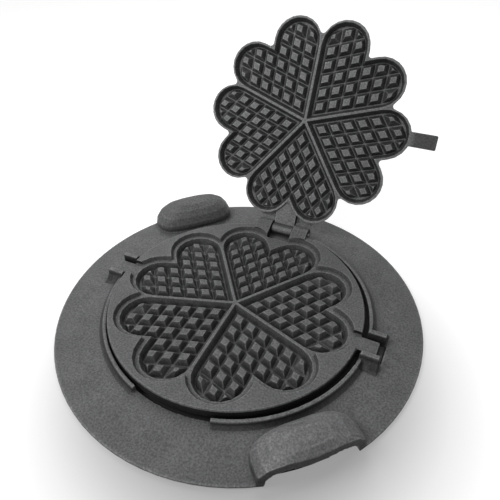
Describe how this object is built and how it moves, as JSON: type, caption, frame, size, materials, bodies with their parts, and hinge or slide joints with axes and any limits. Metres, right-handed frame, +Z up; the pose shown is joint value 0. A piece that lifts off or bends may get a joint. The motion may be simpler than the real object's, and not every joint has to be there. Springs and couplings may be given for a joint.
{
  "type": "waffle iron",
  "caption": "Stove-top waffle iron of cast iron: a base ring with hand grips holds a hinged pair of plates that bake a flower of joined hearts.",
  "frame": {"origin": "on the floor below the centre of the part's box, with the lid open", "axes": "+Z up, +Y towards the hinge and the open lid, X along the two stem notches"},
  "size_m": [0.3018, 0.3618, 0.1888],
  "materials": {
    "cast_iron": "matt, sand-cast grain",
    "pin_steel": "plain drawn steel"
  },
  "bodies": {
    "ring": {"base_ring": "cast_iron"},
    "iron": {"lower_plate": "cast_iron", "hinge_pin": "pin_steel"},
    "lid": {"upper_plate": "cast_iron"}
  },
  "joints": [
    {"name": "iron_lift", "type": "slide", "parent": "ring", "child": "iron", "axis": [0, 0, 1], "range_m": [0, 0.06]},
    {"name": "lid_hinge", "type": "hinge", "parent": "iron", "child": "lid", "pos_m": [-0.0017, 0.07729, 0.0108], "axis": [1, 0, 0], "range_deg": [0, 118.9]}
  ]
}
